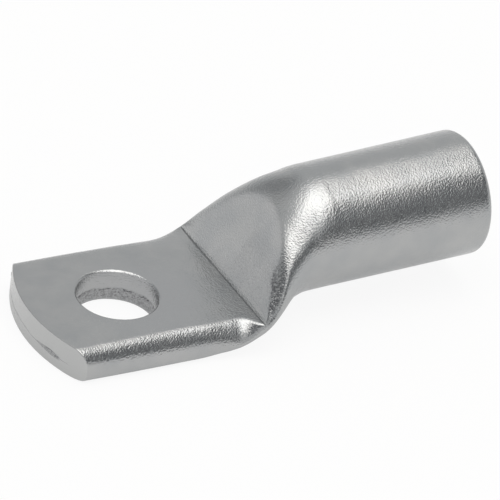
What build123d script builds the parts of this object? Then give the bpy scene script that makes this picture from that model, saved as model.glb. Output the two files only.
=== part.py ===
from build123d import *
from math import cos, exp, radians, sin, tan
import os

# Driving dimensions, in millimetres and degrees
tube_diameter = 16.24
mouth_diameter = 16.64
bore_diameter = 12.0
wall = 2.12
overall_length = 62.35
palm_width = 22.0
palm_thickness = 4.45
top_edge_radius = 1.5
base_edge_radius = 1.3
hole_diameter = 10.5
hole_rim_radius = 0.28
hole_to_end = 12.3
hole_to_crease = 15.1
end_radius = 22.0
seam_height = 1.6
seam_gap = 0.1
ramp_angle = 62.0
shoulder_radius = 9.0
barrel_pitch = 3.15
barrel_lift = 1.7
mouth_radius = 0.8
mouth_chamfer = 0.5

# Pressed stretch, where the flat palm opens out into the round barrel
crease_to_barrel = 12.0
side_rise_lead = 8.5
base_lift_lead = 8.0
base_lift_share = 0.55
base_narrow_share = 0.55
side_narrow_share = 0.72
rounding_share = 0.2
flare = 0.8
flare_reach = 4.4
flat_length = 5.6
flat_fullness = 1.3
flat_taper = 0.7
crown_angle = 20.0
crown_width = 1.6
least_corner = 0.3
hollow_lead = 0.3
bore_step = 0.05
lead_steps = 5
ramp_steps = 12

# Places and sizes that follow from them; x runs along the lug from the hole
tube_radius = tube_diameter / 2
pitch = radians(barrel_pitch)
press_start = hole_to_crease - side_rise_lead
barrel_root = hole_to_crease + crease_to_barrel
barrel_end = overall_length - hole_to_end - mouth_diameter / 2 * sin(pitch)
root_height = tube_radius + barrel_lift


def ease(x, start, end):
    # Share from 0 to 1, level at both ends
    t = min(max((x - start) / (end - start), 0), 1)
    return t * t * (3 - 2 * t)


def mix(first, second, share):
    return first + (second - first) * share


def axis_height(x):
    # The barrel's axis, carried on as a straight line over the palm
    return root_height + (x - barrel_root) * tan(pitch)


def inner_crease(inset):
    # Where the ramp, moved in by the wall, meets the seam
    if inset == 0:
        return hole_to_crease
    ramp = radians(ramp_angle)
    drop = palm_thickness - seam_height - seam_gap
    return hole_to_crease + (inset / cos(ramp) - drop) / tan(ramp)


def top_height(x, inset):
    # Level palm, straight ramp, round shoulder, then the barrel's top line
    ramp = radians(ramp_angle)
    level = seam_height + seam_gap if inset else palm_thickness
    start = inner_crease(inset)
    if x <= start:
        return level
    barrel_top = (tube_radius - inset) / cos(pitch)
    rise = axis_height(start) + barrel_top - level
    meet = start + rise / (tan(ramp) - tan(pitch))
    half_turn = tan((ramp - pitch) / 2)
    slope_length = (meet - start) / cos(ramp)
    radius = min(shoulder_radius - inset, 0.9 * slope_length / half_turn)
    shoulder_start = meet - radius * half_turn * cos(ramp)
    shoulder_end = meet + radius * half_turn * cos(pitch)
    if x <= shoulder_start:
        return level + (x - start) * tan(ramp)
    if x >= shoulder_end:
        return axis_height(x) + barrel_top
    centre_x = shoulder_start + radius * sin(ramp)
    centre_z = level + (shoulder_start - start) * tan(ramp) - radius * cos(ramp)
    return centre_z + (radius**2 - (x - centre_x) ** 2) ** 0.5


def side_width(x, inset):
    # Half width: the palm's, a small flare at the crease, then the tube's
    narrow_end = hole_to_crease + side_narrow_share * crease_to_barrel
    width = mix(palm_width / 2, tube_radius, ease(x, hole_to_crease, narrow_end))
    return width + flare * exp(-(((x - hole_to_crease) / flare_reach) ** 2)) - inset


def flat_width(x, inset):
    # Half width of the flat on top: an arch on the ramp that closes below the crown
    crease = inner_crease(inset)
    if x <= crease:
        return side_width(x, inset) - top_edge_radius
    along = min((x - crease) / flat_length, 1)
    arch = (1 - along**flat_fullness) ** flat_taper
    return mix(crown_width, side_width(crease, inset) - top_edge_radius, arch)


def base_height(x, inset):
    # Underside: level under the palm, lifting to the barrel's lowest line
    if inset:
        share = ease(x, inner_crease(inset), barrel_root)
        return mix(seam_height, axis_height(x) - tube_radius + inset, share)
    lift_end = hole_to_crease + base_lift_share * crease_to_barrel
    share = ease(x, hole_to_crease - base_lift_lead, lift_end)
    return mix(0, axis_height(x) - tube_radius, share)


def base_width(x, inset):
    # Half width of the flat underneath
    palm_base = palm_width / 2 - base_edge_radius - inset
    barrel_base = (tube_radius - inset) * sin(radians(crown_angle))
    narrow_end = hole_to_crease + base_narrow_share * crease_to_barrel
    return mix(palm_base, barrel_base, ease(x, hole_to_crease - base_lift_lead, narrow_end))


def side_height(x, inset):
    # Height of the widest place
    palm_side = (palm_thickness - top_edge_radius + base_edge_radius) / 3
    height = mix(palm_side, axis_height(x), ease(x, press_start, barrel_root))
    least = seam_gap / 2 if inset else least_corner
    height = min(height, top_height(x, inset) - least)
    return max(height, base_height(x, inset) + least)


def box_points(x, inset):
    # Half a section with flats above and below and quarter ellipses between
    bend = 0.5523
    top, base = top_height(x, inset), base_height(x, inset)
    wide, height = side_width(x, inset), side_height(x, inset)
    flat = min(flat_width(x, inset), wide - seam_gap)
    foot = min(base_width(x, inset), wide - seam_gap)
    return [
        (0, top),
        (flat / 3, top),
        (flat * 2 / 3, top),
        (flat, top),
        (mix(flat, wide, bend), top),
        (wide, mix(height, top, bend)),
        (wide, height),
        (wide, mix(height, base, bend)),
        (mix(foot, wide, bend), base),
        (foot, base),
        (foot * 2 / 3, base),
        (foot / 3, base),
        (0, base),
    ]


def ring_points(x, inset):
    # The same points on half a circle about the barrel's axis
    radius, centre = tube_radius - inset, axis_height(x)
    angles = [radians(a) for a in (0, crown_angle, 90, 180 - crown_angle, 180)]
    points = []
    for start, end in zip(angles, angles[1:]):
        handle = 4 / 3 * tan((end - start) / 4)
        points.append((sin(start), cos(start)))
        points.append((sin(start) + handle * cos(start), cos(start) - handle * sin(start)))
        points.append((sin(end) - handle * cos(end), cos(end) + handle * sin(end)))
    points.append((0, -1))
    return [(radius * y, centre + radius * z) for y, z in points]


def section_curves(x, inset):
    # Four curves for each half, measured across and up from the barrel's axis
    round_start = hole_to_crease + rounding_share * crease_to_barrel
    share = ease(x, round_start, barrel_root)
    box, ring = box_points(x, inset), ring_points(x, inset)
    half = [(mix(p[0], q[0], share), mix(p[1], q[1], share) - axis_height(x)) for p, q in zip(box, ring)]
    curves = []
    for side in (1, -1):
        points = [(side * y, z) for y, z in half]
        curves += [points[i : i + 4] for i in range(0, len(points) - 1, 3)]
    return curves


def station_plane(x):
    # Upright over the palm, leaning gradually until square to the barrel
    lean = pitch * ease(x, hole_to_crease, barrel_root)
    return Plane(origin=(x, 0, axis_height(x)), x_dir=(0, 1, 0), z_dir=(cos(lean), 0, sin(lean)))


def spaced(start, end, steps):
    return [mix(start, end, i / steps) for i in range(steps + 1)]


def section(x, inset=0):
    # Every section keeps its eight curves apart, so that the loft joins like to like
    curves = [Bezier(*points) for points in section_curves(x, inset)]
    return station_plane(x) * Face(Wire(curves))


lead_sections = [section(x) for x in spaced(press_start, hole_to_crease, lead_steps)]
ramp_sections = [section(x) for x in spaced(hole_to_crease, barrel_root, ramp_steps)]
mouth_section = section(barrel_end, (tube_diameter - mouth_diameter) / 2)
hollow_start = inner_crease(wall) + hollow_lead
hollow_sections = [section(x, wall + bore_step) for x in spaced(hollow_start, barrel_root, ramp_steps)]
barrel_length = (barrel_end - barrel_root) / cos(pitch)

with BuildPart() as cable_lug:
    # Outer form of the tube: pressed stretch, ramp, flat palm and round barrel
    loft(lead_sections, clean=False)
    loft(ramp_sections, clean=False)
    loft([ramp_sections[-1], mouth_section], ruled=True, clean=False)
    palm_face = cable_lug.faces().sort_by(Axis.X)[0]
    extrude(palm_face, amount=press_start + hole_to_end, clean=False)

    # Hollow behind the ramp, then the round bore out to the mouth
    loft(hollow_sections, clean=False, mode=Mode.SUBTRACT)
    with BuildSketch(station_plane(barrel_root)):
        Circle(bore_diameter / 2)
    extrude(amount=barrel_length, mode=Mode.SUBTRACT)

    # Seam between the two pressed walls
    with BuildSketch(Plane.YZ.offset(hollow_start + hollow_lead)):
        with Locations((0, seam_height + seam_gap / 2)):
            Rectangle(palm_width - 2 * wall, seam_gap)
    extrude(amount=-(hollow_start + hollow_lead + hole_to_end), mode=Mode.SUBTRACT)

    # Rounded end of the palm
    with BuildSketch():
        with Locations((-hole_to_end, 0)):
            Rectangle(end_radius, 2 * palm_width)
        with Locations((end_radius - hole_to_end, 0)):
            Circle(end_radius, mode=Mode.SUBTRACT)
    extrude(amount=palm_thickness, mode=Mode.SUBTRACT)

    # Bolt hole with a softly rolled upper rim
    with Locations((0, 0, palm_thickness)):
        Hole(radius=hole_diameter / 2, depth=palm_thickness)
    rim = cable_lug.edges().filter_by(GeomType.CIRCLE).sort_by(Axis.Z)[-1]
    fillet(rim, radius=hole_rim_radius)

    # Mouth of the barrel: rounded outside, a short lead-in inside
    mouth = cable_lug.faces().filter_by(GeomType.PLANE).sort_by(Axis.X)[-1]
    fillet(mouth.outer_wire().edges(), radius=mouth_radius)
    with BuildSketch(station_plane(barrel_root).offset(barrel_length)):
        Circle(bore_diameter / 2 + mouth_chamfer)
    extrude(amount=-mouth_chamfer, taper=45, mode=Mode.SUBTRACT)

cable_lug.part.label = "cable_lug"
os.makedirs("parts", exist_ok=True)
export_step(cable_lug.part, "parts/cable_lug.step")
print("volume", round(cable_lug.part.volume, 1), "mm3")
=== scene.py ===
import math
import bmesh
import bpy
import numpy as np
from mathutils import Matrix, Vector


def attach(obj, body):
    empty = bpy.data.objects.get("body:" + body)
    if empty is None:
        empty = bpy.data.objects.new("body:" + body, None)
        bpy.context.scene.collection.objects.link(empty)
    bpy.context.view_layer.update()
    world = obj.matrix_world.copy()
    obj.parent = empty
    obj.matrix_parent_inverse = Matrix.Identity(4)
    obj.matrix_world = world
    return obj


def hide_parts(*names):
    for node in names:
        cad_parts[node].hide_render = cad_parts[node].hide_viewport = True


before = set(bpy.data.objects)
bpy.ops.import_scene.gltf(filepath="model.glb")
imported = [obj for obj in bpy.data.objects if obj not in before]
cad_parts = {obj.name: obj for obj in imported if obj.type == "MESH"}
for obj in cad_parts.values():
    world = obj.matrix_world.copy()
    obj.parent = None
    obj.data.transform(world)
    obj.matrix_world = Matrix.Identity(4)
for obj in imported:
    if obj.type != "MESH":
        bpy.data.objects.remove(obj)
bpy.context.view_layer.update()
print("stage 1: frame loaded")

# Camera at the photograph's angle: place and clip in metres, turns in degrees, lens and sensor in millimetres
viewpoint = {
    "place": (-0.188644, -0.314986, 0.250202),
    "azimuth": -33.34,
    "height": 32.76,
    "roll": 9.36,
    "lens": 253.4,
    "sensor": 36,
    "clip": (0.01, 20),
}


def addObject(name, data):
    thing = bpy.data.objects.new(name, data)
    bpy.context.scene.collection.objects.link(thing)
    return thing


def aimCamera(look):
    turn, tip, roll = (math.radians(look[key]) for key in ("azimuth", "height", "roll"))
    side = Vector((math.cos(turn), math.sin(turn), 0))
    ahead = Vector((-math.sin(turn) * math.cos(tip), math.cos(turn) * math.cos(tip), -math.sin(tip)))
    below = ahead.cross(side)
    across = side * math.cos(roll) - below * math.sin(roll)
    down = side * math.sin(roll) + below * math.cos(roll)
    lensData = bpy.data.cameras.new("viewCamera")
    lensData.lens = look["lens"]
    lensData.sensor_width = look["sensor"]
    lensData.clip_start, lensData.clip_end = look["clip"]
    eye = addObject("viewCamera", lensData)
    spot = Matrix((across, -down, -ahead)).transposed().to_4x4()
    spot.translation = Vector(look["place"])
    eye.matrix_world = spot
    bpy.context.scene.camera = eye


aimCamera(viewpoint)
bpy.context.scene.view_settings.view_transform = "Standard"

millimetre = 0.001

# The lug's form, in millimetres and degrees; x runs from the bolt hole to the mouth
lugForm = {
    "tubeRadius": 8.11,
    "mouthEnd": 8.32,  # outer radius at the mouth
    "wall": 2.11,
    "palmWidth": 22.0,
    "palmThickness": 4.45,
    "endPlace": -12.3,
    "endRadius": 22.0,
    "endEdge": 0.14,
    "crease": 15.1,
    "creaseDepth": 0.09,
    "creaseReach": 0.1,
    "seamHeight": 1.6,
    "rampAngle": 62.0,
    "barrelPitch": 3.15,
    "rootHeight": 9.82,
    "barrelRoot": 27.1,
    "barrelEnd": 49.5928,
    "mouthRadius": 0.8,
    "mouthChamfer": 0.5,
    "mouthRings": (7.05, 6.7),  # radii across the mouth's flat rim
    "boreStep": 0.05,  # how much narrower than the bore the hollow begins
    "hollowLead": 2.4,  # the hollow ends this far past the crease
    "sharpAngle": 42,  # edges that turn by more than this stay crisp
}
# The tube as it flattens, before the dies press it. Stops are pairs of place along x and value. Near is the
# side towards -Y. Crown is the top's height and Side the height of the widest place. Across, Rise and Foot
# are how far a side fills out towards a square corner: along the top, up the side, and round the underside
natural = {
    "nearCrown": (
        (-12.3, 5.6), (0, 5.75), (8, 5.9), (13.2, 6.7), (15.1, 8.9), (17, 9.06),
        (19, 12.8), (21, 14.96), (23, 16.55), (25, 17.56)),
    "farCrown": (
        (-12.3, 4.6), (0, 4.6), (7, 4.62), (10, 4.66), (13, 4.68), (15.1, 5.0),
        (17, 8.99), (19, 12.52), (21, 14.96), (23, 16.55), (25, 17.56)),
    "nearAcross": (
        (-12.3, 1.04), (-7, 1.04), (-4, 1.0), (0, 0.93), (4, 0.86), (8, 0.844), (11, 0.92),
        (13.2, 0.62), (15.1, 0.24), (17, 1.02), (19.5, 0.78), (22.5, 0.38), (25, 0.5523)),
    "farAcross": (
        (-12.3, 0.97), (0, 1.07), (8, 1.05), (15, 0.68), (17, 0.67), (19.5, 0.667),
        (22.5, 0.633), (25, 0.5523)),
    "nearRise": (
        (-12.3, 0.5), (-7, 0.45), (-4, 0.48), (0, 0.54), (4, 0.61), (8, 0.6), (11, 0.28),
        (13.2, 0.3), (15.1, 0.52), (17, 0.19), (19.5, 0.395), (22.5, 0.7), (25, 0.5523)),
    "farRise": (
        (-12.3, 1.17), (0, 0.98), (8, 0.81), (15, 0.68), (17, 0.67), (19.5, 0.668),
        (22.5, 0.635), (25, 0.5523)),
    "nearSide": ((-12.3, 1.2), (10, 1.2), (15, 2.49), (25, 2.41)),
    "farSide": ((-12.3, 2.41), (15, 2.41)),
    "nearFoot": (
        (-12.3, 0.97), (5, 0.96), (8, 0.9), (11, 0.62), (13.2, 0.63), (15.1, 0.6), (17, 0.545),
        (19.5, 0.47), (22.5, 0.5523)),
    "farFoot": ((-12.3, 1.03), (7, 1.03), (11, 0.91), (15.1, 0.74), (19.5, 0.57), (22.5, 0.5523)),
    "rootStops": (-0.4, 0, 3),  # where the crown joins the barrel's top line, from the barrel's root
    # Stretches along x: where the widest place lifts to the barrel's axis, the width narrows, the base lifts
    "nearLift": (11.73, 24.65),
    "farLift": (9.04, 25.7),
    "narrowing": (15.08, 24.09),
    "baseLift": (6.07, 20.85),
    "baseCrown": 0.15,
    "flare": 0.8, "flareReach": 5.05, "flareFade": 21.0,
    # Softness where a die leaves off, and where along x it begins to fade
    "topEdge": 0.1, "topFade": 22.0, "baseEdge": 0.05, "hollowEdge": 0.5, "hollowFade": 20.0,
    "pressReach": 0.15,  # the crease's groove is full where the die presses this deep
}
# How finely the skin is woven: steps round half a section, steps along each stretch, turns round each edge
weave = {
    "half": 118,
    "curve": 97,  # points on each curve of a section, before they are spaced evenly
    "ledge": 24, "hole": 52, "lead": 34, "crease": 12, "ramp": 58, "barrel": 72, "bore": 26, "hollow": 20,
    "creaseSpan": 6,  # the fine steps at the crease cover this many of its groove's reach, each way
    "endTurns": (90, 60, 30, 0), "mouthTurns": (15, 30, 45, 60, 75, 90),
}

pitch = math.radians(lugForm["barrelPitch"])
ramp = math.radians(lugForm["rampAngle"])


def ease(x, start, end):
    # Share from 0 to 1, level at both ends
    t = min(max((x - start) / (end - start), 0), 1)
    return t * t * (3 - 2 * t)


def mix(first, second, share):
    return first + (second - first) * share


def hump(x, middle, reach):
    return math.exp(-(((x - middle) / reach) ** 2))


def spaced(start, end, steps):
    # Places after the start, up to the end
    return [mix(start, end, i / steps) for i in range(1, steps + 1)]


def follow(stops, x):
    # A smooth curve through pairs of place and value, level at both ends
    places, values = (np.array(column) for column in zip(*stops))
    x = min(max(x, places[0]), places[-1])
    k = min(max(int(np.searchsorted(places, x)) - 1, 0), len(places) - 2)
    slopes = np.zeros(len(places))
    slopes[1:-1] = (values[2:] - values[:-2]) / (places[2:] - places[:-2])
    length = places[k + 1] - places[k]
    t = (x - places[k]) / length
    bend = length * (slopes[k] * t * (1 - t) ** 2 - slopes[k + 1] * t**2 * (1 - t))
    return mix(values[k], values[k + 1], t * t * (3 - 2 * t)) + bend


def softLower(first, second, softness):
    # The lower of two heights, rounded where they cross
    return (first + second - np.sqrt((first - second) ** 2 + softness**2)) / 2


def axisHeight(x):
    return lugForm["rootHeight"] + (x - lugForm["barrelRoot"]) * math.tan(pitch)


def dieHeight(x):
    # Upper die: level over the palm, then straight up the ramp
    return lugForm["palmThickness"] + math.tan(ramp) * np.maximum(x - lugForm["crease"], 0)


def topHeight(x, side, inset):
    root = lugForm["barrelRoot"]
    barrelTop = []
    for lead in natural["rootStops"]:
        place = root + lead
        barrelTop.append((place, axisHeight(place) + lugForm["tubeRadius"] / math.cos(pitch)))
    crown = follow(natural[side + "Crown"] + tuple(barrelTop), x) - inset
    if not inset:
        return crown
    softness = natural["hollowEdge"] * (1 - ease(x, natural["hollowFade"], root))
    return softLower(crown, dieHeight(x) - inset / math.cos(ramp), softness)


def sideWidth(x, inset):
    width = mix(lugForm["palmWidth"] / 2, lugForm["tubeRadius"], ease(x, *natural["narrowing"]))
    flare = natural["flare"] * hump(x, lugForm["crease"], natural["flareReach"])
    return width + flare * (1 - ease(x, natural["flareFade"], lugForm["barrelRoot"])) - inset


def baseHeight(x, inset):
    barrelBase = axisHeight(x) - lugForm["tubeRadius"] / math.cos(pitch)
    base = mix(-natural["baseCrown"], barrelBase, ease(x, *natural["baseLift"]))
    if not inset:
        return base
    opened = ease(x, lugForm["crease"], lugForm["barrelRoot"])
    return base + inset * opened + lugForm["seamHeight"] * (1 - opened)


def leanAt(x):
    # Sections stand upright over the palm and lean gradually until they are square to the barrel
    return pitch * ease(x, lugForm["crease"], lugForm["barrelRoot"])


def standUp(x, across, up, lean):
    # Points of a section, measured from the barrel's axis, at their places in the lug
    return np.column_stack([x - up * math.sin(lean), across, axisHeight(x) + up * math.cos(lean)])


fineSteps = np.linspace(0, 1, weave["curve"])[:, None]
curveShares = np.hstack([(1 - fineSteps) ** 3, 3 * fineSteps * (1 - fineSteps) ** 2,
                         3 * fineSteps**2 * (1 - fineSteps), fineSteps**3])


def press(curve, x):
    # Upper die with a thin groove along its crease, then the level die underneath
    die = dieHeight(x - (curve[:, 1] - axisHeight(x)) * math.sin(leanAt(x)))
    fade = 1 - ease(x, natural["topFade"], lugForm["barrelRoot"])
    pressedIn = np.clip((curve[:, 1] - die) / natural["pressReach"], 0, 1)
    curve[:, 1] = softLower(curve[:, 1], die, natural["topEdge"] * fade)
    curve[:, 1] -= lugForm["creaseDepth"] * pressedIn * hump(x, lugForm["crease"], lugForm["creaseReach"])
    if x < natural["baseLift"][1]:
        curve[:, 1] = -softLower(-curve[:, 1], 0, natural["baseEdge"])


def halfSection(x, side, inset=0):
    # Evenly spaced points from the top centre line, round one side, to the bottom centre line
    top, base, wide = topHeight(x, side, inset), baseHeight(x, inset), sideWidth(x, inset)
    height = mix(follow(natural[side + "Side"], x), axisHeight(x), ease(x, *natural[side + "Lift"]))
    if inset:
        outerTop, outerBase = topHeight(x, side, 0), baseHeight(x, 0)
        height = mix(base, top, (height - outerBase) / (outerTop - outerBase))
    across, rise, foot = (follow(natural[side + name], x) for name in ("Across", "Rise", "Foot"))
    above = [(0, top), (across * wide, top), (wide, mix(height, top, rise)), (wide, height)]
    below = [(wide, height), (wide, mix(height, base, foot)), (foot * wide, base), (0, base)]
    curve = np.vstack([curveShares @ above, (curveShares @ below)[1:]])
    if not inset:
        press(curve, x)
    lengths = np.concatenate([[0], np.cumsum(np.hypot(*np.diff(curve, axis=0).T))])
    places = np.linspace(0, lengths[-1], weave["half"] + 1)
    return np.column_stack([np.interp(places, lengths, curve[:, 0]), np.interp(places, lengths, curve[:, 1])])


def stationLoop(x, inset=0):
    # A whole section; it starts at the top and goes down the far side first
    near = halfSection(x, "near", inset)[-2:0:-1] * [-1, 1]
    section = np.vstack([halfSection(x, "far", inset), near])
    return standUp(x, section[:, 0], section[:, 1] - axisHeight(x), leanAt(x))


def tubeLoop(x, radius):
    angles = np.arange(2 * weave["half"]) * math.pi / weave["half"]
    return standUp(x, radius * np.sin(angles), radius * np.cos(angles), pitch)


def barrelRadius(x):
    along = (x - lugForm["barrelRoot"]) / (lugForm["barrelEnd"] - lugForm["barrelRoot"])
    return mix(lugForm["tubeRadius"], lugForm["mouthEnd"], along)


def endArc(y):
    return lugForm["endPlace"] + lugForm["endRadius"] - np.sqrt(lugForm["endRadius"] ** 2 - y**2)


vertices, faces, cutMask, tornAndShadeMask = [], [], [], []


def addPoints(points, cut=0.0, tornAndShade=0.0):
    first = sum(len(block) for block in vertices)
    vertices.append(np.asarray(points, float))
    cutMask.append(np.full(len(points), cut))
    tornAndShadeMask.append(np.full(len(points), tornAndShade))
    return list(range(first, first + len(points)))


def joinLoops(first, second, skip=()):
    count = len(first)
    for j in range(count):
        if j not in skip:
            k = (j + 1) % count
            faces.append((first[j], first[k], second[k], second[j]))


def insetLoop(loop, amount):
    # Moves a section's points in, square to its outline
    flat = loop[:, 1:]
    along = np.roll(flat, -1, axis=0) - np.roll(flat, 1, axis=0)
    along /= np.linalg.norm(along, axis=1)[:, None]
    moved = loop.copy()
    moved[:, 1:] -= amount * np.column_stack([-along[:, 1], along[:, 0]])
    return moved


# The bolt hole, in millimetres. It sits in a square block of the palm, whose border joins the sections
holeForm = {
    "radius": 5.25,
    "rim": 0.32, "rimTurns": (14, 22, 30, 38, 46), "rimStep": 0.2, "rimStart": 6, "rimSpan": 40,
    "halfBlock": 6.5,
    "blockColumns": 33,
    "rings": 6, "ringCrowding": 1.3,
    "footEdge": 0.1, "footTurns": (90, 45, 0),
    # Rings down the punched wall: height, how torn, and how far it stands back
    "wall": (
        (3.9, 0, 0), (3.4, 0, 0), (2.9, 0, 0), (2.5, 0, 0), (2.2, 0.02, 0), (2.0, 0.1, 0), (1.86, 0.5, 0),
        (1.76, 1, 0.02), (1.68, 1.2, 0.02), (1.6, 1, 0.01), (1.45, 1, 0), (1.3, 1, 0), (1.15, 1, 0),
        (1.0, 1, 0), (0.85, 1, 0), (0.7, 1, 0), (0.55, 1, 0), (0.4, 0.8, 0), (0.24, 0.5, 0)),
    # The torn zone's upper border wanders: size, waves in a turn and start of each wave, height and reach
    "sway": ((0.09, 3, 0.7), (0.06, 8, 0), (0.04, 19, 2)), "swayLift": 0.08, "swayReach": 1.0,
    # Torn metal's bumps: waves in a turn, rise and size of each, what sets them apart, depth and darkness
    "tears": ((11, 1.6, 0.8), (29, 4.3, 0.9), (61, 8.7, 0.7), (97, 13.0, 0.5)),
    "tearStep": 2.4, "tearRise": 0.7, "tearTurns": 0.6,
    "tearOut": 0.03, "tearDepth": 0.04, "tearDark": 0.55,
}


def tornBumps(angle, height):
    value = 0.0
    for n, (turns, rise, size) in enumerate(holeForm["tears"]):
        ripple = math.sin(turns * angle + rise * height + holeForm["tearStep"] * n)
        slant = rise * height * holeForm["tearRise"] - turns * holeForm["tearTurns"] * angle + n
        value += size * ripple * math.cos(slant)
    return value


def buildHole(indices, blockFirst, blockLast):
    half, count = weave["half"], 2 * weave["half"]
    columns = holeForm["blockColumns"]
    rim, radius, foot = holeForm["rim"], holeForm["radius"], holeForm["footEdge"]
    thick = lugForm["palmThickness"]

    def border(column):
        ring = [indices[blockFirst][column(c)] for c in range(-columns, columns)]
        ring += [indices[n][column(columns)] for n in range(blockFirst, blockLast)]
        ring += [indices[blockLast][column(c)] for c in range(columns, -columns, -1)]
        ring += [indices[n][column(-columns)] for n in range(blockLast, blockFirst, -1)]
        return ring

    allPoints = np.vstack(vertices)
    topRing = border(lambda c: c % count)
    baseRing = border(lambda c: (half - c) % count)
    topSpots = allPoints[topRing]
    angles = np.arctan2(topSpots[:, 1], topSpots[:, 0])
    unit = np.column_stack([np.cos(angles), np.sin(angles)])

    def levelRings(outer, inner, height):
        # Rings from the block's border in to a circle
        rings = []
        for k in range(1, holeForm["rings"] + 1):
            share = 1 - (1 - k / holeForm["rings"]) ** holeForm["ringCrowding"]
            flat = outer[:, :2] * (1 - share) + unit * inner * share
            rings.append(np.column_stack([flat, mix(outer[:, 2], height, share)]))
        return rings

    def wallRing(out, height):
        return np.column_stack([unit * out, np.full(len(unit), height)])

    chain = [topRing]
    for ring in levelRings(topSpots, radius + rim, thick):
        chain.append(addPoints(ring))

    # Rolled rim, smooth upper wall, torn lower wall and the small edge underneath
    drop = 0.0
    for turn in holeForm["rimTurns"]:
        drop += holeForm["rimStep"] * rim * math.tan(math.radians(turn))
        inward = (turn - holeForm["rimStart"]) / holeForm["rimSpan"]
        chain.append(addPoints(wallRing(radius + rim * (1 - inward), thick - drop)))
    tearTop = lugForm["seamHeight"] + holeForm["swayLift"]
    sway = sum(size * np.sin(turns * angles + start) for size, turns, start in holeForm["sway"])
    for height, tear, sink in holeForm["wall"]:
        heights = height + max(0.0, 1 - abs(height - tearTop) / holeForm["swayReach"]) * sway
        bumps = np.array([tornBumps(a, h) for a, h in zip(angles, heights)])
        outs = radius + sink + tear * (holeForm["tearOut"] + holeForm["tearDepth"] * bumps)
        ring = np.column_stack([unit * outs[:, None], heights])
        chain.append(addPoints(ring, tornAndShade=holeForm["tearDark"] * tear))
    for turn in holeForm["footTurns"]:
        angle = math.radians(turn)
        chain.append(addPoints(wallRing(radius + foot * (1 - math.sin(angle)), foot * (1 - math.cos(angle)))))

    for ring in levelRings(allPoints[baseRing], radius + foot, 0.0)[-2::-1]:
        chain.append(addPoints(ring))
    chain.append(baseRing)
    for first, second in zip(chain, chain[1:]):
        joinLoops(first, second)


# The gap left between the pressed walls on the end face, in millimetres: a lens-shaped slit that runs on as
# a hairline. Rows are its profile, as shares of its half height upwards and of its depth inwards
slit = {
    "near": -7.3, "far": -2.2,  # ends of the open part, along y
    "widest": 0.3, "deepest": 0.3, "skew": 0.62, "fullness": 0.8,
    "hairline": 0.012, "hairlineDepth": 0.015, "hairlineEnd": 6.5, "hairlineFade": 2.5, "least": 0.004,
    "sway": ((0.05, 0.9, 0), (0.02, 2.3, 1)),  # size, waves and start of each wave along the seam
    "rows": ((1.0, 0.15), (0.7, 0.7), (0.1, 1.0), (-0.6, 0.65), (-1.0, 0.15), (-1.5, 0)),
    "margin": 1.5, "rowsAbove": 9, "rowsBelow": 6,
    "inside": 0.3, "mostGape": 0.15,  # limits, as shares of the end's height there
    "tear": 2,  # painted shade: how much darker the slit is painted with depth
}


def slitShape(y):
    # Half height and depth
    t = (y - slit["near"]) / (slit["far"] - slit["near"])
    lens = math.sin(math.pi * t ** slit["skew"]) ** slit["fullness"] if 0 < t < 1 else 0
    fade = max(0.0, 1 - max(0.0, abs(y) - slit["hairlineEnd"]) / slit["hairlineFade"])
    halfHeight = slit["hairline"] * fade + slit["widest"] * lens
    return max(halfHeight, slit["least"]), slit["hairlineDepth"] * fade + slit["deepest"] * lens


def slitColumn(top, bottom):
    # Points down the end face between two points of its outline, and how deep each lies
    y, tall = float(top[1]), top[2] - bottom[2]
    middle = lugForm["seamHeight"]
    for size, waves, start in slit["sway"]:
        middle += size * math.sin(y * waves + start)
    middle = min(max(middle, bottom[2] + slit["inside"] * tall), top[2] - slit["inside"] * tall)
    gape, deep = slitShape(y)
    gape = min(gape, slit["mostGape"] * tall)
    above, below = slit["rowsAbove"], slit["rowsBelow"]
    heights = [mix(top[2], middle + slit["margin"] * gape, k / above) for k in range(1, above + 1)]
    heights += [middle + factor * gape for factor, sink in slit["rows"]]
    heights += [mix(middle - slit["margin"] * gape, bottom[2], k / below) for k in range(1, below)]
    depths = [0.0] * above + [sink * deep for factor, sink in slit["rows"]] + [0.0] * (below - 1)
    points = []
    for height, depth in zip(heights, depths):
        across = mix(top[1], bottom[1], (top[2] - height) / tall)
        points.append((float(endArc(across)) + depth, across, height))
    return points, depths


def buildEndFace(outline, rimLoop):
    # A grid between the upper and lower halves of the end's outline, with the slit pressed in
    half, count = weave["half"], 2 * weave["half"]
    columns = half // 2
    rows = {}
    for c in range(-columns + 1, columns):
        points, depths = slitColumn(outline[c % count], outline[(half - c) % count])
        # Painted shade: the slit's points are painted darker the deeper they lie
        added = addPoints(points, cut=1.0, tornAndShade=slit["tear"] * np.array(depths))
        rows[c] = [rimLoop[c % count]] + added + [rimLoop[(half - c) % count]]
    for c in range(-columns + 1, columns - 1):
        left, right = rows[c], rows[c + 1]
        for k in range(len(left) - 1):
            faces.append((left[k], left[k + 1], right[k + 1], right[k]))
    for c, corner in ((-columns + 1, rimLoop[-columns % count]), (columns - 1, rimLoop[columns])):
        side = rows[c]
        for k in range(len(side) - 1):
            triangle = (side[k], side[k + 1], corner)
            faces.append(triangle if c > 0 else triangle[::-1])


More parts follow.
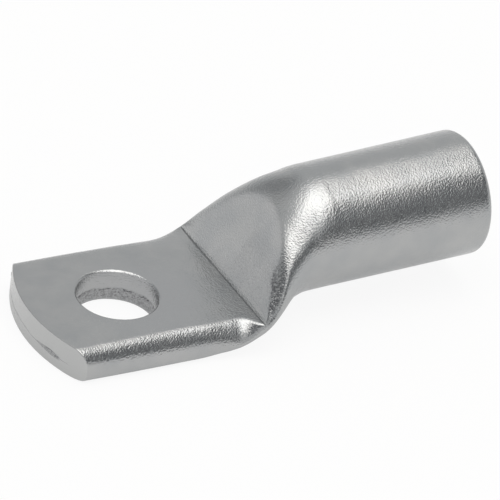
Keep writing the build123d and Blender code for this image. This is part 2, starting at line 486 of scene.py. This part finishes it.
def buildLug():
    half, count = weave["half"], 2 * weave["half"]
    crease, root, mouth = lugForm["crease"], lugForm["barrelRoot"], lugForm["barrelEnd"]
    edge, startBlock = lugForm["endEdge"], -holeForm["halfBlock"]

    # Rounded edge of the end, then the palm up to the bolt hole's block
    loops = []
    for turn in weave["endTurns"]:
        angle = math.radians(turn)
        loop = insetLoop(stationLoop(lugForm["endPlace"]), edge * (1 - math.cos(angle)))
        loop[:, 0] = endArc(loop[:, 1]) + edge * (1 - math.sin(angle))
        loops.append(loop)
    cutLoops = len(loops) - 1
    for share in spaced(0, 1, weave["ledge"]):
        loop = stationLoop(mix(lugForm["endPlace"], startBlock, share))
        loop[:, 0] = mix(endArc(loop[:, 1]) + edge, startBlock, share)
        loops.append(loop)
    blockFirst = len(loops) - 1
    loops += [stationLoop(x) for x in spaced(startBlock, -startBlock, weave["hole"])]
    blockLast = len(loops) - 1

    # The rest of the palm, fine steps over the crease, the ramp and the barrel
    span = weave["creaseSpan"] * lugForm["creaseReach"]
    loops += [stationLoop(x) for x in spaced(-startBlock, crease - span, weave["lead"])]
    loops += [stationLoop(x) for x in spaced(crease - span, crease + span, 2 * weave["crease"])]
    loops += [stationLoop(x) for x in spaced(crease + span, root, weave["ramp"])]
    bend, chamfer = lugForm["mouthRadius"], lugForm["mouthChamfer"]
    mouthStart = mouth - bend * math.cos(pitch)
    loops += [tubeLoop(x, barrelRadius(x)) for x in spaced(root, mouthStart, weave["barrel"])]

    # Rounded mouth, lead-in, bore and the hollow behind the ramp
    for turn in weave["mouthTurns"]:
        angle = math.radians(turn)
        place = mouth - bend * (1 - math.sin(angle)) * math.cos(pitch)
        loops.append(tubeLoop(place, barrelRadius(place) - bend * (1 - math.cos(angle))))
    boreRadius = lugForm["tubeRadius"] - lugForm["wall"]
    loops += [tubeLoop(mouth, radius) for radius in lugForm["mouthRings"] + (boreRadius + chamfer,)]
    boreStart = mouth - chamfer * math.cos(pitch)
    loops.append(tubeLoop(boreStart, boreRadius))
    loops += [tubeLoop(x, boreRadius) for x in spaced(boreStart, root, weave["bore"])]
    hollowPlaces = spaced(root, crease + lugForm["hollowLead"], weave["hollow"])
    loops += [stationLoop(x, lugForm["wall"] + lugForm["boreStep"]) for x in hollowPlaces]

    indices = [addPoints(loop, cut=1.0 if n < cutLoops else 0.0) for n, loop in enumerate(loops)]
    columns = holeForm["blockColumns"]
    topSkip = {c % count for c in range(-columns, columns)}
    baseSkip = {c % count for c in range(half - columns, half + columns)}
    for n in range(len(loops) - 1):
        inBlock = blockFirst <= n < blockLast
        joinLoops(indices[n], indices[n + 1], topSkip | baseSkip if inBlock else ())

    # Close the narrow end of the hollow
    last = indices[-1]
    for c in range(-half // 2, half // 2):
        upper = (last[c % count], last[(c + 1) % count])
        lower = (last[(half - c - 1) % count], last[(half - c) % count])
        faces.append(tuple(dict.fromkeys(upper + lower)))

    buildEndFace(loops[0], indices[0])
    buildHole(indices, blockFirst, blockLast)


buildLug()
points = np.vstack(vertices)

# Torn skin just outside the ramp's pressed face, on the near side, in millimetres
worn = {"start": 15.3, "startFade": 0.6, "end": 19.0, "endFade": 1.8, "border": 0.06, "reach": 1.1}


def wornShare(spots):
    below = dieHeight(spots[:, 0]) - spots[:, 2]
    along = np.clip((spots[:, 0] - worn["start"]) / worn["startFade"], 0, 1)
    along = along * np.clip((worn["end"] - spots[:, 0]) / worn["endFade"], 0, 1)
    down = np.clip(below / worn["border"], 0, 1) * np.exp(-((below / worn["reach"]) ** 2))
    return down * along * (spots[:, 1] < 0)


# Shares of torn metal, which also carry the painted shade deep in the end's slit
tornAndShadeShares = np.maximum(np.concatenate(tornAndShadeMask), wornShare(points))
print("stage 2: skin of", len(points), "points and", len(faces), "faces")


def addNode(tree, kind, links=None, **settings):
    # Sockets are given by name or number: another node's output is linked, anything else is set
    node = tree.nodes.new(kind)
    for key, value in settings.items():
        setattr(node, key, value)
    for key, value in (links or {}).items():
        if isinstance(value, bpy.types.NodeSocket):
            tree.links.new(value, node.inputs[key])
        else:
            node.inputs[key].default_value = value
    return node


def addMath(tree, operation, first, second, **settings):
    return addNode(tree, "ShaderNodeMath", {0: first, 1: second}, operation=operation, **settings).outputs[0]


def addNoise(tree, place, grain):
    scale, detail = grain
    links = {"Vector": place, "Scale": scale, "Detail": detail}
    return addNode(tree, "ShaderNodeTexNoise", links).outputs["Fac"]


def addRange(tree, value, span, ends, curve="LINEAR"):
    return addNode(tree, "ShaderNodeMapRange", {
        "Value": value, "From Min": span[0], "From Max": span[1], "To Min": ends[0], "To Max": ends[1]},
        interpolation_type=curve).outputs["Result"]


def addTone(tree, share, under, over):
    return addNode(tree, "ShaderNodeMix", {0: share, 6: under, 7: over}, data_type="RGBA").outputs[2]


def emptyTree(owner):
    owner.use_nodes = True
    owner.node_tree.nodes.clear()
    return owner.node_tree


# Pressed and blasted stainless steel: faint stains, fine grain, short cross scratches, painted shade round
# the bolt hole, and dark pits in torn metal, which grow into painted shade deeper in the end's slit. Noises
# are scale per metre and detail; depths, the painted shade's middle and its span are in metres; other spans
# are shares of the noise they read
finish = {
    "colour": (0.44, 0.445, 0.445, 1),
    "stain": (0.40, 0.41, 0.415, 1), "stainNoise": (260, 4), "stainSpan": (0.35, 0.65),
    # Painted shade: a darker colour round the bolt hole, with its middle and its span
    "paintedShade": (0.42, 0.427, 0.434, 1), "paintedShadeMiddle": (0.003, -0.002, 0.0045), "paintedShadeSpan": (0.004, 0.011),
    "cut": (0.475, 0.48, 0.48, 1),
    # Dark pits in torn metal, which are also painted shade deep in the end's slit
    "pitAndShade": (0.12, 0.122, 0.13, 1), "pitAndShadeSpan": (0.4, 0.58), "pitAndShadeShares": (1.0, 0.25),
    "tornNoise": (3600, 2), "tornDepth": 1.2e-4,
    "peelNoise": (2100, 1), "peelDepth": 6e-6,
    "grainNoise": (4400, 2), "grainDepth": 5e-5,
    "scratchStretch": (7500, 1500, 1500), "scratchNoise": (1.0, 1), "scratchDepth": 1.2e-6,
    "sheenNoise": (900, 3), "sheenSpan": (0.3, 0.7), "roughness": (0.15, 0.21),
}


def makeSteel():
    steel = bpy.data.materials.new("satinSteel")
    tree = emptyTree(steel)
    place = addNode(tree, "ShaderNodeTexCoord").outputs["Object"]

    stains = addNode(tree, "ShaderNodeValToRGB", {"Fac": addNoise(tree, place, finish["stainNoise"])})
    for n, name in enumerate(("stain", "colour")):
        stop = stains.color_ramp.elements[n]
        stop.position, stop.color = finish["stainSpan"][n], finish[name]
    # Painted shade: the colour darkens towards a spot over the palm round the bolt hole
    away = addNode(tree, "ShaderNodeVectorMath", {0: place, 1: finish["paintedShadeMiddle"]}, operation="DISTANCE")
    paintedShadeShare = addRange(tree, away.outputs["Value"], finish["paintedShadeSpan"], (1.0, 0.0), "SMOOTHSTEP")
    colour = addTone(tree, paintedShadeShare, stains.outputs["Color"], finish["paintedShade"])
    cut = addNode(tree, "ShaderNodeAttribute", attribute_name="cutFace").outputs["Fac"]
    colour = addTone(tree, cut, colour, finish["cut"])
    # Dark pits in torn metal; deep in the end's slit they are painted shade
    tornAndShade = addNode(tree, "ShaderNodeAttribute", attribute_name="tornSkinAndSlitShade").outputs["Fac"]
    ragged = addNoise(tree, place, finish["tornNoise"])
    pitsAndShade = addRange(tree, ragged, finish["pitAndShadeSpan"], finish["pitAndShadeShares"])
    pitsAndShade = addMath(tree, "MULTIPLY", pitsAndShade, tornAndShade, use_clamp=True)
    colour = addTone(tree, pitsAndShade, colour, finish["pitAndShade"])
    sheen = addNoise(tree, place, finish["sheenNoise"])
    rough = addRange(tree, sheen, finish["sheenSpan"], finish["roughness"])

    peel = addNoise(tree, place, finish["peelNoise"])
    grain = addNoise(tree, place, finish["grainNoise"])
    lined = addNode(tree, "ShaderNodeMapping", {"Vector": place, "Scale": finish["scratchStretch"]})
    scratch = addNoise(tree, lined.outputs["Vector"], finish["scratchNoise"])
    ragged = addMath(tree, "MULTIPLY", ragged, tornAndShade)
    layers = ((ragged, "tornDepth"), (peel, "peelDepth"), (grain, "grainDepth"), (scratch, "scratchDepth"))
    bump = None
    for height, depth in layers:
        links = {"Height": height, "Distance": finish[depth], "Strength": 1.0}
        if bump:
            links["Normal"] = bump.outputs["Normal"]
        bump = addNode(tree, "ShaderNodeBump", links)
    metal = addNode(tree, "ShaderNodeBsdfPrincipled", {
        "Base Color": colour, "Metallic": 1.0, "Roughness": rough, "Normal": bump.outputs["Normal"]})
    addNode(tree, "ShaderNodeOutputMaterial", {"Surface": metal.outputs["BSDF"]})
    return steel


def makeMesh(points, faces, masks):
    mesh = bpy.data.meshes.new("lugBody")
    mesh.from_pydata((points * millimetre).tolist(), [], faces)
    mesh.validate()
    for name, shares in masks.items():
        layer = mesh.attributes.new(name, "FLOAT", "POINT")
        layer.data.foreach_set("value", shares.astype(np.float32))
    shell = bmesh.new()
    shell.from_mesh(mesh)
    bmesh.ops.recalc_face_normals(shell, faces=shell.faces)
    if shell.calc_volume(signed=True) < 0:
        bmesh.ops.reverse_faces(shell, faces=shell.faces)
    openEdges = sum(1 for edge in shell.edges if len(edge.link_faces) != 2)
    volume = shell.calc_volume() / millimetre**3
    print("stage 3: volume", round(volume, 1), "mm3, open edges", openEdges)
    shell.to_mesh(mesh)
    shell.free()
    mesh.polygons.foreach_set("use_smooth", np.ones(len(mesh.polygons), bool))
    mesh.update()
    return mesh


steel = makeSteel()
lugMesh = makeMesh(points, faces, {"cutFace": np.concatenate(cutMask), "tornSkinAndSlitShade": tornAndShadeShares})
lugBody = addObject("lugBody", lugMesh)

# Unevenness that pressing and blasting leave in the skin, in metres
pressed = {
    "Peel size": 0.0009, "Peel depth": 0.000012,
    "Wave size": 0.006, "Wave depth": 0.00006,
    "Seed": 4.0,
}


def makePressedSkin(inputs):
    tree = bpy.data.node_groups.new("pressedSkin", "GeometryNodeTree")
    tree.interface.new_socket("Geometry", in_out="INPUT", socket_type="NodeSocketGeometry")
    for name in inputs:
        tree.interface.new_socket(name, in_out="INPUT", socket_type="NodeSocketFloat")
    tree.interface.new_socket("Finish", in_out="INPUT", socket_type="NodeSocketMaterial")
    tree.interface.new_socket("Geometry", in_out="OUTPUT", socket_type="NodeSocketGeometry")
    given = addNode(tree, "NodeGroupInput").outputs
    spot = addNode(tree, "GeometryNodeInputPosition").outputs[0]
    sinks = []
    for layer in ("Peel", "Wave"):
        density = addMath(tree, "DIVIDE", 1.0, given[layer + " size"])
        noise = addNode(tree, "ShaderNodeTexNoise", {
            "Vector": spot, "W": given["Seed"], "Scale": density, "Detail": 1.0}, noise_dimensions="4D")
        sinks.append(addMath(tree, "MULTIPLY", noise.outputs[0], given[layer + " depth"]))
    inward = addMath(tree, "MULTIPLY", addMath(tree, "ADD", *sinks), -1.0)
    normal = addNode(tree, "GeometryNodeInputNormal").outputs[0]
    shift = addNode(tree, "ShaderNodeVectorMath", {0: normal, "Scale": inward}, operation="SCALE")
    moved = addNode(tree, "GeometryNodeSetPosition", {
        "Geometry": given["Geometry"], "Offset": shift.outputs[0]})
    solid = addNode(tree, "GeometryNodeRealizeInstances", {"Geometry": moved.outputs[0]})
    clad = addNode(tree, "GeometryNodeSetMaterial", {
        "Geometry": solid.outputs[0], "Material": given["Finish"]})
    addNode(tree, "NodeGroupOutput", {0: clad.outputs[0]})
    return tree


def dressWith(piece, tree, inputs, material):
    modifier = piece.modifiers.new(tree.name, "NODES")
    modifier.node_group = tree
    for socket in tree.interface.items_tree:
        if socket.in_out == "INPUT" and socket.name in inputs:
            modifier[socket.identifier] = inputs[socket.name]
        elif socket.in_out == "INPUT" and socket.name == "Finish":
            modifier[socket.identifier] = material
    graph = bpy.context.evaluated_depsgraph_get()
    plain = bpy.data.meshes.new_from_object(
        piece.evaluated_get(graph), preserve_all_data_layers=True, depsgraph=graph)
    piece.modifiers.remove(modifier)
    plain.name = piece.name
    # No point of the underside sinks below the table
    spots = np.empty(3 * len(plain.vertices), np.float32)
    plain.vertices.foreach_get("co", spots)
    spots[2::3] = np.maximum(spots[2::3], 0)
    plain.vertices.foreach_set("co", spots)
    piece.data = plain


dressWith(lugBody, makePressedSkin(pressed), pressed, steel)
lugBody.data.set_sharp_from_angle(angle=math.radians(lugForm["sharpAngle"]))
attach(lugBody, "root")
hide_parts("cable_lug")
print("stage 4: lug body has", sum(len(p.vertices) - 2 for p in lugBody.data.polygons), "triangles")

# A pale table that rays from the camera see as nearly white, and mirrored rays as half lit; size in metres
table = {
    "size": 6.0,
    "colour": (0.9, 0.9, 0.9, 1),
    "glow": (1, 1, 1, 1),
    "paleShare": 0.9,
    "mirrorShare": 0.5,
}


def makeTable():
    half = table["size"] / 2
    corners = [(-half, -half, 0), (half, -half, 0), (half, half, 0), (-half, half, 0)]
    sheet = bpy.data.meshes.new("tableTop")
    sheet.from_pydata(corners, [], [(0, 1, 2, 3)])
    floor = addObject("tableTop", sheet)
    paper = bpy.data.materials.new("palePaper")
    tree = emptyTree(paper)
    dull = addNode(tree, "ShaderNodeBsdfDiffuse", {"Color": table["colour"]}).outputs[0]
    glow = addNode(tree, "ShaderNodeEmission", {"Color": table["glow"], "Strength": 1.0}).outputs[0]
    rays = addNode(tree, "ShaderNodeLightPath").outputs
    seen = addMath(tree, "MAXIMUM", rays["Is Camera Ray"], rays["Is Transmission Ray"])
    seen = addMath(tree, "MULTIPLY", seen, table["paleShare"])
    mirrored = addMath(tree, "MULTIPLY", rays["Is Glossy Ray"], table["mirrorShare"])
    share = addMath(tree, "MAXIMUM", seen, mirrored)
    both = addNode(tree, "ShaderNodeMixShader", {0: share, 1: dull, 2: glow}).outputs[0]
    addNode(tree, "ShaderNodeOutputMaterial", {"Surface": both})
    sheet.materials.append(paper)


makeTable()

# A soft tent of light all round, with bright, pale and dark patches for the steel to mirror
studio = {
    "tent": (0.72, 0.725, 0.725),
    # Azimuth and height in degrees, stretch along x, y, z, where the patch begins to fade and ends, its light
    "patches": (
        ((-96, 77.5), (1, 1, 1), (0.40, 0.66), (2.55, 2.5, 2.43)),
        ((26, 63), (1, 1, 1.3), (0.14, 0.34), (1.95, 1.91, 1.85)),
        ((-148, 42), (1, 1, 1.3), (0.22, 0.40), (0.20, 0.205, 0.215)),
        ((-121, 47), (1, 1, 1.2), (0.16, 0.34), (0.16, 0.165, 0.175)),
        ((-178, 25), (1, 1, 1.3), (0.20, 0.38), (0.18, 0.185, 0.19)),
        ((-42, 41), (1.25, 1.25, 0.85), (0.27, 0.46), (0.18, 0.185, 0.195)),
        ((8, 51), (1, 1, 1.5), (0.18, 0.34), (0.22, 0.225, 0.23)),
        ((-64, 17), (1, 1, 0.9), (0.14, 0.34), (0.16, 0.165, 0.17)),
        ((140, 4), (1, 1, 1), (0.15, 0.45), (0.84, 0.84, 0.84)),
        ((112, 30), (1.2, 1.2, 0.9), (0.14, 0.48), (0.36, 0.365, 0.37)),
    ),
}


def makeStudio():
    world = bpy.data.worlds.new("studioTent")
    bpy.context.scene.world = world
    tree = emptyTree(world)
    way = addNode(tree, "ShaderNodeTexCoord").outputs["Generated"]
    light = addNode(tree, "ShaderNodeCombineXYZ", dict(enumerate(studio["tent"]))).outputs[0]
    for (azimuth, height), stretch, span, glow in studio["patches"]:
        turn, tip = math.radians(azimuth), math.radians(height)
        middle = (math.cos(turn) * math.cos(tip), math.sin(turn) * math.cos(tip), math.sin(tip))
        offset = way
        for operation, amount in (("SUBTRACT", middle), ("MULTIPLY", stretch)):
            links = {0: offset, 1: amount}
            offset = addNode(tree, "ShaderNodeVectorMath", links, operation=operation).outputs[0]
        away = addNode(tree, "ShaderNodeVectorMath", {0: offset}, operation="LENGTH").outputs["Value"]
        share = addRange(tree, away, span, (1.0, 0.0), "SMOOTHSTEP")
        light = addNode(tree, "ShaderNodeMix", {0: share, 4: light, 5: glow}, data_type="VECTOR").outputs[1]
    sky = addNode(tree, "ShaderNodeBackground", {"Color": light, "Strength": 1.0}).outputs[0]
    addNode(tree, "ShaderNodeOutputWorld", {"Surface": sky})


makeStudio()

print("stage 5: studio set")
